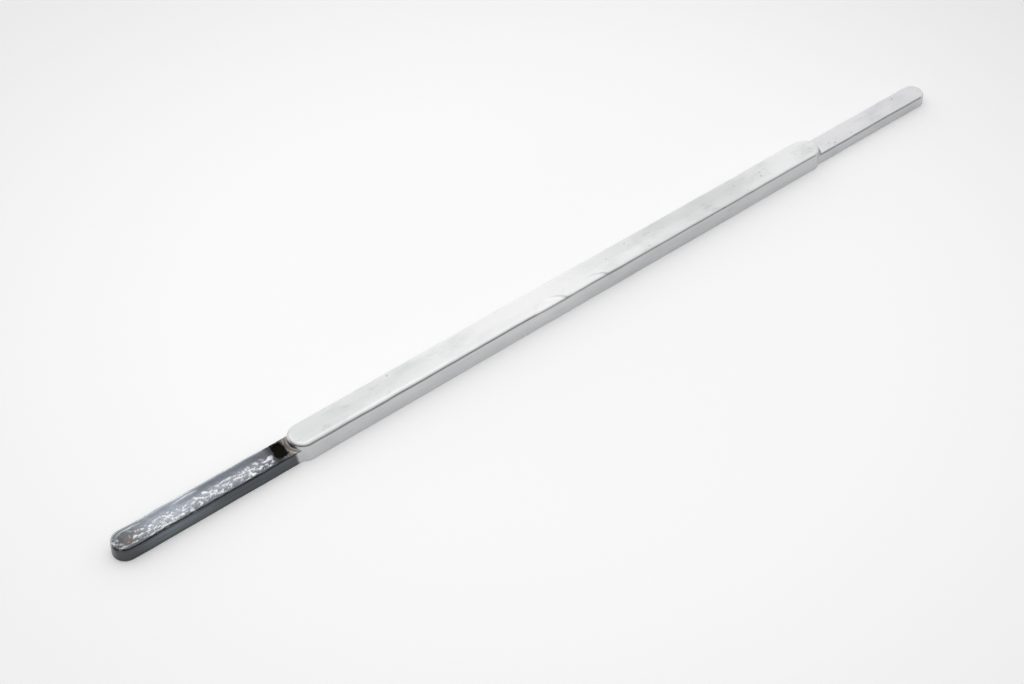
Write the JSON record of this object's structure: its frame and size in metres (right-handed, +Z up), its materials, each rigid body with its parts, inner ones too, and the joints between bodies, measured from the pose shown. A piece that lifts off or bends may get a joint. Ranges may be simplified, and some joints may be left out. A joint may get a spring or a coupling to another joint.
{
  "type": "tin ingot",
  "caption": "Slender cast tin bar with a round-nosed raised body, a lower round-tipped tab at each end and a flat poured face; raw stock for melting.",
  "frame": {"origin": "middle of the bar's length and width, on the flat poured face that it lies on", "axes": "+X along the bar towards the plain tab, +Y across it, +Z up from the poured face through the raised body"},
  "size_m": [0.4, 0.013, 0.0082],
  "materials": {
    "tin": "satin as-cast tin, bright on the raised body, darker and rough on one tab"
  },
  "bodies": {
    "root": {"ingot": "tin"}
  },
  "joints": []
}
